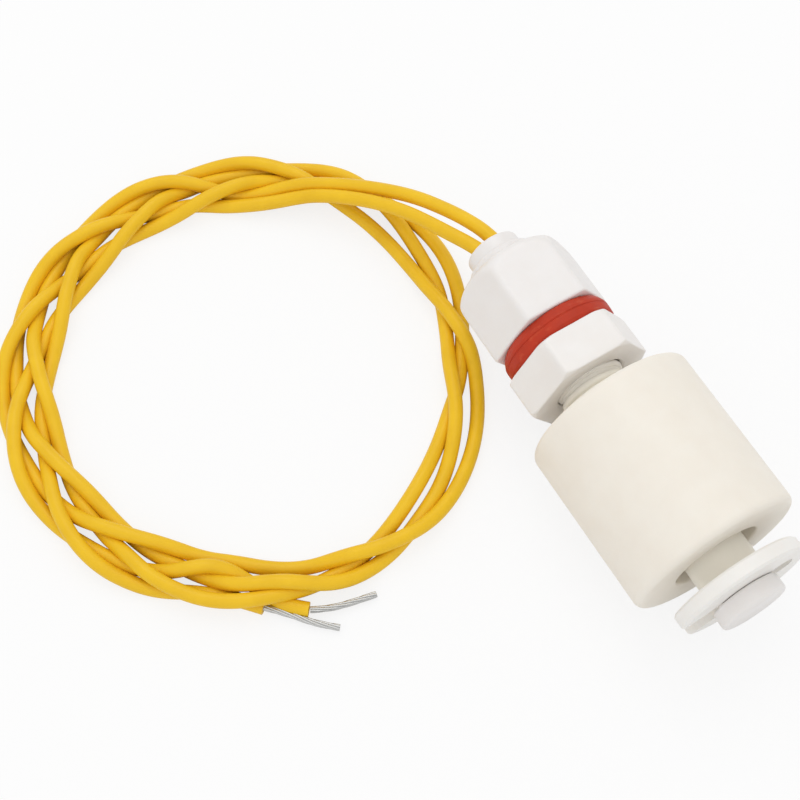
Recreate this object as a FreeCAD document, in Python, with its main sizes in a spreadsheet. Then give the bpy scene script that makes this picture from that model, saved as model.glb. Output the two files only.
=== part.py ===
"""Small moulded float level switch: threaded plastic stem with a hexagonal head,
sealing washer, lock nut, sliding float on a snap-on clip, and two loose leads.

The switch lies on its float. The stem runs along +X, from the lead end to the clip
end, at the height of the float's radius. The floor is Z = 0 and X = 0 is half-way
between the two ends of the moulding. Millimetres.
"""
import FreeCAD, Part
import math
import os
import Sketcher
from FreeCAD import Placement, Rotation, Vector

doc = FreeCAD.newDocument("float_level_switch")

# ---------------------------------------------------------------- sizes
SIZES = (
    # moulded housing: cap, step, head, threaded barrel, stem, end boss
    ("cap_diameter", 7.6), ("cap_length", 2.2), ("cap_edge", 0.5),
    ("step_diameter", 9.8), ("step_length", 1.4), ("step_edge", 0.5),
    ("head_length", 11.2), ("head_across_flats", 15.2), ("head_edge_round", 0.7),
    ("dome_start", 5.1), ("dome_radius", 3.8),
    ("barrel_diameter", 9.5), ("barrel_length", 13.4), ("barrel_chamfer", 0.4),
    ("stem_diameter", 8.4), ("stem_length", 44.5),
    ("neck_diameter", 7.2), ("boss_diameter", 9.2), ("boss_length", 2.4), ("boss_edge", 0.4),
    ("core_diameter", 5.4), ("core_end_wall", 3.0),
    # sealing washer and lock nut
    ("washer_diameter", 16.0), ("washer_thickness", 3.3), ("washer_round", 1.0),
    ("nut_thickness", 5.8), ("nut_across_flats", 15.7), ("nut_chamfer", 0.35),
    ("thread_gap", 0.05), ("bore_chamfer", 0.4),
    # float and its ring magnet
    ("float_diameter", 23.3), ("float_length", 23.6), ("float_start", 12.9),
    ("float_round", 1.0), ("float_gap", 0.3), ("mouth_diameter", 11.8), ("mouth_depth", 2.6),
    ("magnet_bore", 11.0), ("magnet_diameter", 17.0), ("magnet_length", 6.0),
    ("magnet_gap", 0.05),
    # clip in the neck
    ("clip_diameter", 18.2), ("clip_thickness", 2.1), ("clip_gap", 0.05),
    ("clip_slot", 6.4), ("clip_turn", 200.0), ("clip_edge", 0.3),
    ("clip_relief", 3.4), ("clip_relief_reach", 5.5),
    # reed contact and its wiring inside the stem
    ("lead_diameter", 2.0), ("conductor_diameter", 0.9), ("lead_spacing", 2.4),
    ("potting_length", 9.0), ("solder_length", 3.0), ("sleeve_wall", 0.25),
    ("sleeve_lap", 1.0), ("first_joint", 11.6), ("joint_stagger", 6.4),
    ("reed_diameter", 2.2), ("reed_length", 14.0), ("reed_wall", 0.35), ("reed_seal", 1.2),
    ("reed_middle", 39.5), ("blade_diameter", 0.5), ("blade_lap", 1.2), ("contact_gap", 0.1),
    ("return_diameter", 1.0), ("return_turn", 52.2),
    # loose leads and their coil: straight way out of the cap, the coil's place and section
    ("lead_straight", 4.0), ("coil_back", 35.4), ("coil_aside", 35.2),
    ("coil_outer", 68.8), ("coil_inner", 53.6), ("coil_height", 4.0), ("coil_chamfer", 1.1),
)

sheet = doc.addObject("Spreadsheet::Sheet", "Sizes")
for row, (alias, number) in enumerate(SIZES, start=1):
    sheet.set("A%d" % row, alias)
    sheet.set("B%d" % row, str(number))
    sheet.setAlias("B%d" % row, alias)
doc.recompute()


def size(formula):
    """Number behind a formula over the sheet."""
    return float(sheet.evalExpression(formula))


def dim(alias):
    return float(getattr(sheet, alias))


# Positions along the stem, all from the cap's end face.
ABOVE = "(Sizes.cap_length + Sizes.step_length + Sizes.head_length)"
TOTAL = "(%s + Sizes.stem_length)" % ABOVE
NECK = "(%s - Sizes.boss_length - Sizes.clip_thickness - 2 * Sizes.clip_gap)" % TOTAL
START_X = "-(%s) / 2" % TOTAL
AXIS_Z = "Sizes.float_diameter / 2"
NUT_AT = "(%s + Sizes.washer_thickness)" % ABOVE
FLOAT_AT = "(%s + Sizes.float_start)" % ABOVE
MAGNET_AT = "(Sizes.float_length / 2 - Sizes.magnet_length / 2)"
ALONG_X = Rotation(Vector(0, 1, 0), 90)


# ---------------------------------------------------------------- helpers
def seat(thing, at="0", side="0", up="0"):
    """Tie a finished sub-part to its place on the stem's axis."""
    thing.setExpression("Placement.Base.x", "%s + %s" % (START_X, at))
    thing.setExpression("Placement.Base.y", side)
    thing.setExpression("Placement.Base.z", "%s + %s" % (AXIS_Z, up))
    return thing


def new_body(label):
    body = doc.addObject("PartDesign::Body", label)
    body.Label = label
    return body


def plane(body, role):
    return [f for f in body.Origin.OriginFeatures if f.Role == role][0]


def new_sketch(body, name, role, offset=None):
    sketch = body.newObject("Sketcher::SketchObject", name)
    sketch.AttachmentSupport = [(plane(body, role), "")]
    sketch.MapMode = "FlatFace"
    if offset:
        sketch.setExpression("AttachmentOffset.Base.z", offset)
    return sketch


def bind(sketch, kind, first, where, formula):
    """Fix one coordinate of a sketch point to a formula, from the sketch's origin."""
    number = sketch.addConstraint(Sketcher.Constraint(kind, -1, 1, first, where, size(formula)))
    sketch.setExpression("Constraints[%d]" % number, formula)


def outline(sketch, corners):
    """Closed outline. Each corner is (along, out) or (along, out, radius, turn), where
    the radius makes the side that leaves it an arc, bulging left (+1) or right (-1)."""
    points = [Vector(size(c[0]), size(c[1]), 0) for c in corners]
    count = len(corners)
    for i, corner in enumerate(corners):
        a, b = points[i], points[(i + 1) % count]
        if len(corner) == 2:
            sketch.addGeometry(Part.LineSegment(a, b), False)
            continue
        radius, turn = size(corner[2]), corner[3]
        chord = b - a
        reach = math.sqrt(max(radius ** 2 - (chord.Length / 2) ** 2, 0))
        normal = Vector(-chord.y, chord.x, 0).normalize() * turn
        centre = (a + b) * 0.5 - normal * reach
        angles = [math.atan2(p.y - centre.y, p.x - centre.x) for p in (a, b)]
        if turn > 0:
            angles.reverse()
        circle = Part.Circle(centre, Vector(0, 0, 1), radius)
        sketch.addGeometry(Part.ArcOfCircle(circle, *angles), False)
    ends = [(2, 1) if len(c) == 4 and c[3] > 0 else (1, 2) for c in corners]
    for i, corner in enumerate(corners):
        sketch.addConstraint(Sketcher.Constraint("Coincident", i - 1 if i else count - 1,
                                                 ends[i - 1][1], i, ends[i][0]))
        bind(sketch, "DistanceX", i, ends[i][0], corner[0])
        bind(sketch, "DistanceY", i, ends[i][0], corner[1])
    for i, corner in enumerate(corners):
        if len(corner) == 4:
            number = sketch.addConstraint(Sketcher.Constraint("Radius", i, size(corner[2])))
            sketch.setExpression("Constraints[%d]" % number, corner[2])
    return sketch


def turned(body, name, corners, cut=False):
    """Revolve an outline about the stem's axis, adding it or cutting it."""
    sketch = outline(new_sketch(body, name + "_outline", "XY_Plane"), corners)
    kind = "PartDesign::Groove" if cut else "PartDesign::Revolution"
    feature = body.newObject(kind, name)
    feature.Profile = sketch
    feature.ReferenceAxis = (sketch, ["H_Axis"])
    feature.Angle = 360
    doc.recompute()
    return feature


def hexagon(body, name, flats, length, start="0"):
    """Hexagonal bar along the axis with a flat facing up and a corner to each side."""
    prism = body.newObject("PartDesign::AdditivePrism", name)
    prism.AttachmentSupport = [(plane(body, "YZ_Plane"), "")]
    prism.MapMode = "FlatFace"
    prism.Polygon = 6
    prism.setExpression("Circumradius", "%s / sqrt(3)" % flats)
    prism.setExpression("Height", length)
    prism.setExpression("AttachmentOffset.Base.z", start)
    doc.recompute()
    return prism


def edges(shape, test):
    return ["Edge%d" % (i + 1) for i, e in enumerate(shape.Edges) if test(e)]


def ring_at(along, radius):
    """Test for a full circle round the axis at a place along it."""
    def test(edge):
        if not isinstance(edge.Curve, Part.Circle) or not edge.isClosed():
            return False
        centre = edge.Curve.Center
        return (abs(centre.x - along) < 1e-4 and abs(edge.Curve.Radius - radius) < 1e-4
                and math.hypot(centre.y, centre.z) < 1e-4)
    return test


def dress(body, kind, name, names, formula):
    """Fillet or chamfer on named edges of the body's tip."""
    if not names:
        raise RuntimeError("%s: no edges to dress" % name)
    base = body.Tip
    feature = body.newObject(kind, name)
    feature.Base = (base, names)
    feature.setExpression("Radius" if kind.endswith("Fillet") else "Size", formula)
    doc.recompute()
    return feature


def rod(name, diameter, length, at, side="0"):
    """Plain round piece along the axis."""
    piece = doc.addObject("Part::Cylinder", name)
    piece.setExpression("Radius", "%s / 2" % diameter)
    piece.setExpression("Height", length)
    piece.Placement = Placement(Vector(), ALONG_X)
    return seat(piece, at, side)


def cut(label, base, tool):
    piece = doc.addObject("Part::Cut", label)
    piece.Base, piece.Tool = base, tool
    return piece


# ---------------------------------------------------------------- housing
housing = new_body("housing")
HEAD_AT = "(Sizes.cap_length + Sizes.step_length)"
hexagon(housing, "head", "Sizes.head_across_flats", "Sizes.head_length", HEAD_AT)
corner_r = dim("head_across_flats") / math.sqrt(3)


def bar_corner(edge):
    a, b = edge.Vertexes[0].Point, edge.Vertexes[-1].Point
    return abs(a.x - b.x) > 1 and abs(math.hypot(a.y, a.z) - corner_r) < 1e-4


dress(housing, "PartDesign::Fillet", "head_edges", edges(housing.Tip.Shape, bar_corner),
      "Sizes.head_edge_round")
DOME_OUT = "(Sizes.dome_start + Sizes.dome_radius)"
turned(housing, "dome", [
    (HEAD_AT, "Sizes.dome_start", "Sizes.dome_radius", 1),
    ("%s + Sizes.dome_radius" % HEAD_AT, DOME_OUT),
    ("%s + Sizes.dome_radius" % HEAD_AT, "%s + 2" % DOME_OUT),
    ("%s - 1" % HEAD_AT, "%s + 2" % DOME_OUT),
    ("%s - 1" % HEAD_AT, "Sizes.dome_start"),
], cut=True)
turned(housing, "shaft", [
    ("0", "0"),
    ("0", "Sizes.cap_diameter / 2"),
    ("Sizes.cap_length", "Sizes.cap_diameter / 2"),
    ("Sizes.cap_length", "Sizes.step_diameter / 2"),
    ("%s + 1" % HEAD_AT, "Sizes.step_diameter / 2"),
    ("%s + 1" % HEAD_AT, "Sizes.barrel_diameter / 2"),
    ("%s + Sizes.barrel_length" % ABOVE, "Sizes.barrel_diameter / 2"),
    ("%s + Sizes.barrel_length" % ABOVE, "Sizes.stem_diameter / 2"),
    (NECK, "Sizes.stem_diameter / 2"),
    (NECK, "Sizes.neck_diameter / 2"),
    ("%s - Sizes.boss_length" % TOTAL, "Sizes.neck_diameter / 2"),
    ("%s - Sizes.boss_length" % TOTAL, "Sizes.boss_diameter / 2"),
    (TOTAL, "Sizes.boss_diameter / 2"),
    (TOTAL, "0"),
])
tip = housing.Tip.Shape
dress(housing, "PartDesign::Chamfer", "cap_rim", edges(tip, ring_at(0, dim("cap_diameter") / 2)),
      "Sizes.cap_edge")
tip = housing.Tip.Shape
dress(housing, "PartDesign::Chamfer", "step_rim",
      edges(tip, ring_at(dim("cap_length"), dim("step_diameter") / 2)), "Sizes.step_edge")
tip = housing.Tip.Shape
dress(housing, "PartDesign::Chamfer", "barrel_end",
      edges(tip, ring_at(size("%s + Sizes.barrel_length" % ABOVE), dim("barrel_diameter") / 2)),
      "Sizes.barrel_chamfer")
tip = housing.Tip.Shape
dress(housing, "PartDesign::Chamfer", "boss_rim",
      edges(tip, ring_at(size(TOTAL), dim("boss_diameter") / 2)), "Sizes.boss_edge")
turned(housing, "core", [
    ("0", "0"),
    ("%s - Sizes.core_end_wall" % TOTAL, "0"),
    ("%s - Sizes.core_end_wall" % TOTAL, "Sizes.core_diameter / 2"),
    ("0", "Sizes.core_diameter / 2"),
], cut=True)
seat(housing)

# ---------------------------------------------------------------- washer and nut
washer = new_body("sealing_washer")
WASHER_IN = "(Sizes.barrel_diameter / 2 + Sizes.thread_gap)"
turned(washer, "ring", [
    ("0", WASHER_IN),
    ("Sizes.washer_thickness", WASHER_IN),
    ("Sizes.washer_thickness", "Sizes.washer_diameter / 2"),
    ("0", "Sizes.washer_diameter / 2"),
])
dress(washer, "PartDesign::Fillet", "rim",
      edges(washer.Tip.Shape, ring_at(0, dim("washer_diameter") / 2)), "Sizes.washer_round")
seat(washer, ABOVE)

nut = new_body("lock_nut")
hexagon(nut, "bar", "Sizes.nut_across_flats", "Sizes.nut_thickness")
NUT_CORNER = "(Sizes.nut_across_flats / sqrt(3))"
for name, face, inward in (("top_corners", "0", "Sizes.nut_chamfer"),
                           ("base_corners", "Sizes.nut_thickness",
                            "(Sizes.nut_thickness - Sizes.nut_chamfer)")):
    turned(nut, name, [
        (face, "%s - 2 * Sizes.nut_chamfer" % NUT_CORNER),
        (face, "%s + 1" % NUT_CORNER),
        (inward, "%s + 1" % NUT_CORNER),
        (inward, NUT_CORNER),
    ], cut=True)
turned(nut, "bore", [
    ("0", "0"),
    ("Sizes.nut_thickness", "0"),
    ("Sizes.nut_thickness", WASHER_IN),
    ("0", WASHER_IN),
], cut=True)
dress(nut, "PartDesign::Chamfer", "bore_lead_in",
      edges(nut.Tip.Shape, lambda e: ring_at(0, size(WASHER_IN))(e)
            or ring_at(dim("nut_thickness"), size(WASHER_IN))(e)), "Sizes.bore_chamfer")
seat(nut, NUT_AT)

# ---------------------------------------------------------------- float and magnet
float_body = new_body("float")
FLOAT_BORE = "(Sizes.stem_diameter / 2 + Sizes.float_gap)"
turned(float_body, "shell", [
    ("0", "Sizes.mouth_diameter / 2"),
    ("0", "Sizes.float_diameter / 2"),
    ("Sizes.float_length", "Sizes.float_diameter / 2"),
    ("Sizes.float_length", "Sizes.mouth_diameter / 2"),
    ("Sizes.float_length - Sizes.mouth_depth", "Sizes.mouth_diameter / 2"),
    ("Sizes.float_length - Sizes.mouth_depth", FLOAT_BORE),
    ("Sizes.mouth_depth", FLOAT_BORE),
    ("Sizes.mouth_depth", "Sizes.mouth_diameter / 2"),
])
dress(float_body, "PartDesign::Fillet", "rims",
      edges(float_body.Tip.Shape, lambda e: ring_at(0, dim("float_diameter") / 2)(e)
            or ring_at(dim("float_length"), dim("float_diameter") / 2)(e)), "Sizes.float_round")
turned(float_body, "magnet_pocket", [
    ("%s - Sizes.magnet_gap" % MAGNET_AT, "Sizes.magnet_bore / 2 - Sizes.magnet_gap"),
    ("%s - Sizes.magnet_gap" % MAGNET_AT, "Sizes.magnet_diameter / 2 + Sizes.magnet_gap"),
    ("%s + Sizes.magnet_length + Sizes.magnet_gap" % MAGNET_AT,
     "Sizes.magnet_diameter / 2 + Sizes.magnet_gap"),
    ("%s + Sizes.magnet_length + Sizes.magnet_gap" % MAGNET_AT,
     "Sizes.magnet_bore / 2 - Sizes.magnet_gap"),
], cut=True)
seat(float_body, FLOAT_AT)

magnet = new_body("ring_magnet")
turned(magnet, "ring", [
    ("0", "Sizes.magnet_bore / 2"),
    ("0", "Sizes.magnet_diameter / 2"),
    ("Sizes.magnet_length", "Sizes.magnet_diameter / 2"),
    ("Sizes.magnet_length", "Sizes.magnet_bore / 2"),
])
seat(magnet, "%s + %s" % (FLOAT_AT, MAGNET_AT))

# ---------------------------------------------------------------- clip
clip = new_body("retaining_clip")
CLIP_IN = "(Sizes.neck_diameter / 2 + Sizes.clip_gap)"
turned(clip, "ring", [
    ("0", CLIP_IN),
    ("0", "Sizes.clip_diameter / 2"),
    ("Sizes.clip_thickness", "Sizes.clip_diameter / 2"),
    ("Sizes.clip_thickness", CLIP_IN),
])
slot = clip.newObject("PartDesign::SubtractiveBox", "mouth")
slot.AttachmentSupport = [(plane(clip, "YZ_Plane"), "")]
slot.MapMode = "FlatFace"
slot.setExpression("Length", "Sizes.clip_diameter")
slot.setExpression("Width", "Sizes.clip_slot")
slot.setExpression("Height", "Sizes.clip_thickness")
slot.setExpression("AttachmentOffset.Base.y", "-Sizes.clip_slot / 2")
relief = clip.newObject("PartDesign::SubtractiveCylinder", "relief")
relief.AttachmentSupport = [(plane(clip, "YZ_Plane"), "")]
relief.MapMode = "FlatFace"
relief.setExpression("Radius", "Sizes.clip_relief / 2")
relief.setExpression("Height", "Sizes.clip_thickness")
relief.setExpression("AttachmentOffset.Base.x", "-Sizes.clip_relief_reach")
doc.recompute()
dress(clip, "PartDesign::Chamfer", "rim", edges(
    clip.Tip.Shape, lambda e: isinstance(e.Curve, Part.Circle)
    and abs(e.Curve.Radius - dim("clip_diameter") / 2) < 1e-4), "Sizes.clip_edge")
clip.Placement = Placement(Vector(), Rotation(Vector(1, 0, 0), dim("clip_turn")))
seat(clip, "%s + Sizes.clip_gap" % NECK)

# ---------------------------------------------------------------- wiring in the stem
SIDE_A = "Sizes.lead_spacing / 2"
SIDE_B = "-Sizes.lead_spacing / 2"
JOINT_A = "Sizes.first_joint"
JOINT_B = "(Sizes.first_joint + Sizes.joint_stagger)"
REED_AT = "(Sizes.reed_middle - Sizes.reed_length / 2)"

plug = rod("potting_blank", "Sizes.core_diameter", "Sizes.potting_length", "0")
holes = doc.addObject("Part::Fuse", "potting_holes")
holes.Base = rod("potting_hole_a", "Sizes.lead_diameter", "Sizes.potting_length", "0", SIDE_A)
holes.Tool = rod("potting_hole_b", "Sizes.lead_diameter", "Sizes.potting_length", "0", SIDE_B)
potting = cut("potting", plug, holes)

inner_a = rod("lead_a_inner", "Sizes.lead_diameter", JOINT_A, "0", SIDE_A)
inner_b = rod("lead_b_inner", "Sizes.lead_diameter", JOINT_B, "0", SIDE_B)
solder_a = rod("solder_a", "Sizes.conductor_diameter", "Sizes.solder_length", JOINT_A, SIDE_A)
solder_b = rod("solder_b", "Sizes.conductor_diameter", "Sizes.solder_length", JOINT_B, SIDE_B)


def sleeve(label, joint, side):
    long = "Sizes.solder_length + 2 * Sizes.sleeve_lap"
    at = "%s - Sizes.sleeve_lap" % joint
    outer = rod(label + "_outer", "(Sizes.lead_diameter + 2 * Sizes.sleeve_wall)", long, at, side)
    return cut(label, outer, rod(label + "_bore", "Sizes.lead_diameter", long, at, side))


sleeve_a = sleeve("sleeve_a", JOINT_A, SIDE_A)
sleeve_b = sleeve("sleeve_b", JOINT_B, SIDE_B)

# Reed blades: each a round wire, halved over the lap so that the two faces stand apart.
BLADE_A_AT = "(%s + Sizes.solder_length)" % JOINT_A
BLADE_A_LONG = "(Sizes.reed_middle + Sizes.blade_lap / 2 - %s)" % BLADE_A_AT
BLADE_B_AT = "(Sizes.reed_middle - Sizes.blade_lap / 2)"
BLADE_B_LONG = "(Sizes.return_turn - %s)" % BLADE_B_AT


def blade(label, at, long, lap_at, up):
    """Wire with one half taken off over the lap."""
    wire = rod(label + "_wire", "Sizes.blade_diameter", long, at, SIDE_A)
    half = doc.addObject("Part::Box", label + "_half")
    half.setExpression("Length", "Sizes.blade_lap + 2 * Sizes.contact_gap")
    half.setExpression("Width", "Sizes.blade_diameter")
    half.setExpression("Height", "Sizes.blade_diameter")
    seat(half, lap_at, "%s - Sizes.blade_diameter / 2" % SIDE_A, up)
    return cut(label, wire, half)


reed_blade_a = blade("reed_blade_a", BLADE_A_AT, BLADE_A_LONG,
                     "%s - 2 * Sizes.contact_gap" % BLADE_B_AT, "-Sizes.contact_gap / 2")
reed_blade_b = blade("reed_blade_b", BLADE_B_AT, BLADE_B_LONG, BLADE_B_AT,
                     "(Sizes.contact_gap / 2 - Sizes.blade_diameter)")

glass = rod("glass_blank", "Sizes.reed_diameter", "Sizes.reed_length", REED_AT, SIDE_A)
hollow = doc.addObject("Part::Fuse", "glass_hollow")
hollow.Base = rod("glass_room", "(Sizes.reed_diameter - 2 * Sizes.reed_wall)",
                  "Sizes.reed_length - 2 * Sizes.reed_seal", "%s + Sizes.reed_seal" % REED_AT,
                  SIDE_A)
hollow.Tool = rod("glass_wire_way", "Sizes.blade_diameter", "Sizes.reed_length", REED_AT, SIDE_A)
reed_glass = cut("reed_glass", glass, hollow)

# Return wire: from the second joint down past the reed and round to its far end.
RETURN_AT = "(%s + Sizes.solder_length)" % JOINT_B
spacing = dim("lead_spacing")
x_start = size(START_X)
axis_z = size(AXIS_Z)


def tube(wire, diameter):
    """Round section swept along a wire of lines and tangent arcs."""
    first = wire.OrderedEdges[0]
    start = first.valueAt(first.FirstParameter)
    heading = first.tangentAt(first.FirstParameter)
    ring = Part.Wire([Part.Circle(start, heading, diameter / 2).toShape()])
    return wire.makePipeShell([ring], True, True)


def feature(label, shape):
    piece = doc.addObject("Part::Feature", label)
    piece.Shape = shape
    return piece


turn_x = x_start + size("Sizes.return_turn")
back = spacing / 2
return_path = Part.Wire([
    Part.LineSegment(Vector(x_start + size(RETURN_AT), -back, axis_z),
                     Vector(turn_x, -back, axis_z)).toShape(),
    Part.Arc(Vector(turn_x, -back, axis_z), Vector(turn_x + back, 0, axis_z),
             Vector(turn_x, back, axis_z)).toShape(),
])
return_wire = feature("return_wire", tube(return_path, dim("return_diameter")))


# ---------------------------------------------------------------- loose leads
def route(points):
    """Straight runs joined by tangent arcs, each as large as its two runs allow."""
    points = [Vector(*p) for p in points]
    parts, radii, here = [], [], points[0]
    for before, corner, after in zip(points, points[1:], points[2:]):
        arm_in, arm_out = before - corner, after - corner
        reach = 0.45 * min(arm_in.Length, arm_out.Length)
        half = (math.pi - arm_in.getAngle(arm_out)) / 2
        radius = reach / math.tan(half)
        radii.append(round(radius, 1))
        entry = corner + arm_in.normalize() * reach
        leave = corner + arm_out.normalize() * reach
        inward = (arm_in + arm_out).normalize()
        middle = corner + inward * (radius / math.cos(half) - radius)
        parts.append(Part.LineSegment(here, entry).toShape())
        parts.append(Part.Arc(entry, middle, leave).toShape())
        here = leave
    parts.append(Part.LineSegment(here, points[-1]).toShape())
    return Part.Wire(parts), radii


def cord(label, points, diameter):
    wire, radii = route(points)
    solid = tube(wire, diameter)
    expected = math.pi * diameter ** 2 / 4 * wire.Length
    print("%s: %.1f mm long, radii %s, volume %.4f of section x length"
          % (label, wire.Length, radii, solid.Volume / expected))
    return feature(label, solid)


LEAD_A = [
    (x_start, spacing / 2, axis_z),
    (x_start - dim("lead_straight"), spacing / 2, axis_z),
    (-37.4, 0.2, 11.0),
    (-41.2, -1.9, 9.6),
    (-45.6, -4.4, 7.7),
    (-50.1, -7.6, 5.7),
    (-54.6, -11.6, 3.9),
    (-58.6, -15.6, 2.7),
    (-61.4, -19.7, 2.0),
]
LEAD_B = [
    (x_start, -spacing / 2, axis_z),
    (x_start - dim("lead_straight"), -spacing / 2, axis_z),
    (-37.6, -2.4, 11.0),
    (-41.2, -4.6, 9.5),
    (-45.3, -7.3, 7.4),
    (-48.9, -10.1, 5.4),
    (-52.7, -13.4, 3.6),
    (-55.9, -16.8, 2.5),
    (-58.5, -20.5, 1.9),
]
END_A = [(-5.0, -49.9, 1.0), (-2.4, -47.4, 0.9), (0.3, -45.3, 0.75), (2.3, -42.9, 0.6)]
END_B = [(-3.6, -46.9, 1.1), (-1.2, -44.1, 1.0), (0.1, -40.4, 0.8), (0.9, -36.6, 0.6)]
COIL_CENTRE = Vector(-dim("coil_back"), -dim("coil_aside"), 0)

lead_a = cord("lead_a", LEAD_A, dim("lead_diameter"))
lead_b = cord("lead_b", LEAD_B, dim("lead_diameter"))
tinned_a = cord("tinned_end_a", END_A, dim("conductor_diameter"))
tinned_b = cord("tinned_end_b", END_B, dim("conductor_diameter"))

coil_outside = doc.addObject("Part::Cylinder", "coil_outside")
coil_outside.setExpression("Radius", "Sizes.coil_outer / 2")
coil_outside.setExpression("Height", "Sizes.coil_height")
coil_inside = doc.addObject("Part::Cylinder", "coil_inside")
coil_inside.setExpression("Radius", "Sizes.coil_inner / 2")
coil_inside.setExpression("Height", "Sizes.coil_height")
for piece in (coil_outside, coil_inside):
    piece.Placement = Placement(COIL_CENTRE, Rotation())
coil_ring = cut("coil_ring", coil_outside, coil_inside)
doc.recompute()
lead_coil = doc.addObject("Part::Chamfer", "lead_coil")
lead_coil.Base = coil_ring
rims = [i + 1 for i, e in enumerate(coil_ring.Shape.Edges)
        if isinstance(e.Curve, Part.Circle) and e.isClosed()]
lead_coil.Edges = [(i, dim("coil_chamfer"), dim("coil_chamfer")) for i in rims]

# ---------------------------------------------------------------- check and write
PIECES = (housing, washer, nut, float_body, magnet, clip, potting, inner_a, inner_b,
          solder_a, solder_b, sleeve_a, sleeve_b, reed_blade_a, reed_blade_b, reed_glass,
          return_wire, lead_a, lead_b, lead_coil, tinned_a, tinned_b)

doc.recompute()
for thing in doc.Objects:
    if "Invalid" in thing.State or "Error" in thing.State:
        raise RuntimeError("%s failed: %s" % (thing.Label, thing.State))
os.makedirs("parts", exist_ok=True)
for piece in PIECES:
    shape = piece.Shape
    if shape.isNull() or not shape.isValid() or len(shape.Solids) != 1:
        raise RuntimeError("%s: not one valid solid" % piece.Label)
for piece in PIECES:
    piece.Shape.exportStep("parts/%s.step" % piece.Label)
    box = piece.Shape.BoundBox
    print("%-16s x %7.2f..%7.2f  y %7.2f..%7.2f  z %6.2f..%6.2f  volume %9.2f" % (
        piece.Label, box.XMin, box.XMax, box.YMin, box.YMax, box.ZMin, box.ZMax,
        piece.Shape.Volume))
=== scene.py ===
"""Looks of a small float level switch: a white moulded stem with a hexagonal head, a red
sealing washer, a lock nut, a sliding float held by a clip, and two yellow leads wound in
a loose coil. The switch lies on its float with the stem along +X.

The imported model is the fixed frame. Every piece takes its place from it, in metres, and
rides on one of its bodies.
"""

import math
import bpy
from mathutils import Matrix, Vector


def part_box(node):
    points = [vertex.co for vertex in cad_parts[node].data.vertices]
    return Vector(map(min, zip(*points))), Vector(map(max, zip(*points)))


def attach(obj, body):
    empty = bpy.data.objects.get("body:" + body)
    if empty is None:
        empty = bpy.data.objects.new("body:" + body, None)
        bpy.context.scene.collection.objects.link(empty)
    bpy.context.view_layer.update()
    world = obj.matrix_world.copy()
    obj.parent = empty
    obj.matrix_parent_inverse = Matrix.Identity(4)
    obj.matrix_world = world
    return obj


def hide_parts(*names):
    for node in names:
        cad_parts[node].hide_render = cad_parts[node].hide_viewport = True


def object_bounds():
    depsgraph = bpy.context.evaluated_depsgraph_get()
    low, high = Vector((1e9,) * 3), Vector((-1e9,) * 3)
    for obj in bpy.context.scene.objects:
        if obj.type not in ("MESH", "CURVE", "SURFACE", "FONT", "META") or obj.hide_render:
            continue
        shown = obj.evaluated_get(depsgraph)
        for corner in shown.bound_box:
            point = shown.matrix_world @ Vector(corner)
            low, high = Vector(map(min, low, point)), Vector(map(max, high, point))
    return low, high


bl_info = {
    "name": "Float level switch",
    "version": (1, 0, 0),
    "blender": (4, 5, 0),
    "location": "3D View > Sidebar > Level switch",
    "description": "Builds the pieces of a small float level switch and its stage",
    "category": "Object",
}

import bpy
import numpy as np
from bpy.props import FloatProperty, FloatVectorProperty, IntProperty, PointerProperty
from mathutils import Vector

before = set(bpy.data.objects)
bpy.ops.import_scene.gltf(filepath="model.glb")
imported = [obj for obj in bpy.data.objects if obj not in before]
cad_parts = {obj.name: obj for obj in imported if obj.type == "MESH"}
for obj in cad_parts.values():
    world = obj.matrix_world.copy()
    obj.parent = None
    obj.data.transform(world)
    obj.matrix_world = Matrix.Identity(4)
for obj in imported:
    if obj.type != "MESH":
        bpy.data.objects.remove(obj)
CAD_LOW, CAD_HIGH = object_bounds()
MM = 0.001


def low(node):
    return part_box(node)[0]


def high(node):
    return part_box(node)[1]


def srgb(red, green, blue):
    """Linear colour from 0 to 255 display values."""
    return tuple((c / 255 / 12.92) if c / 255 <= 0.04045
                 else ((c / 255 + 0.055) / 1.055) ** 2.4 for c in (red, green, blue))


# Places along the stem, read from the frame.
AXIS_Z = (low("float").z + high("float").z) / 2
CAP_END = low("housing").x
BOSS_END = high("housing").x
HEAD_SEAT = low("sealing_washer").x
NUT_SEAT = low("lock_nut").x
NUT_FACE = high("lock_nut").x
FLOAT_FACE = low("float").x
FLOAT_BACK = high("float").x
CLIP_FACE = low("retaining_clip").x
CLIP_BACK = high("retaining_clip").x


# ------------------------------------------------------------------ settings
def length(name, description, default, **more):
    return FloatProperty(name=name, description=description, default=default, unit="LENGTH",
                         subtype="DISTANCE", precision=5, min=0, **more)


def colour(name, description, default):
    return FloatVectorProperty(name=name, description=description, default=default,
                               subtype="COLOR", size=3, min=0, max=1)


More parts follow.
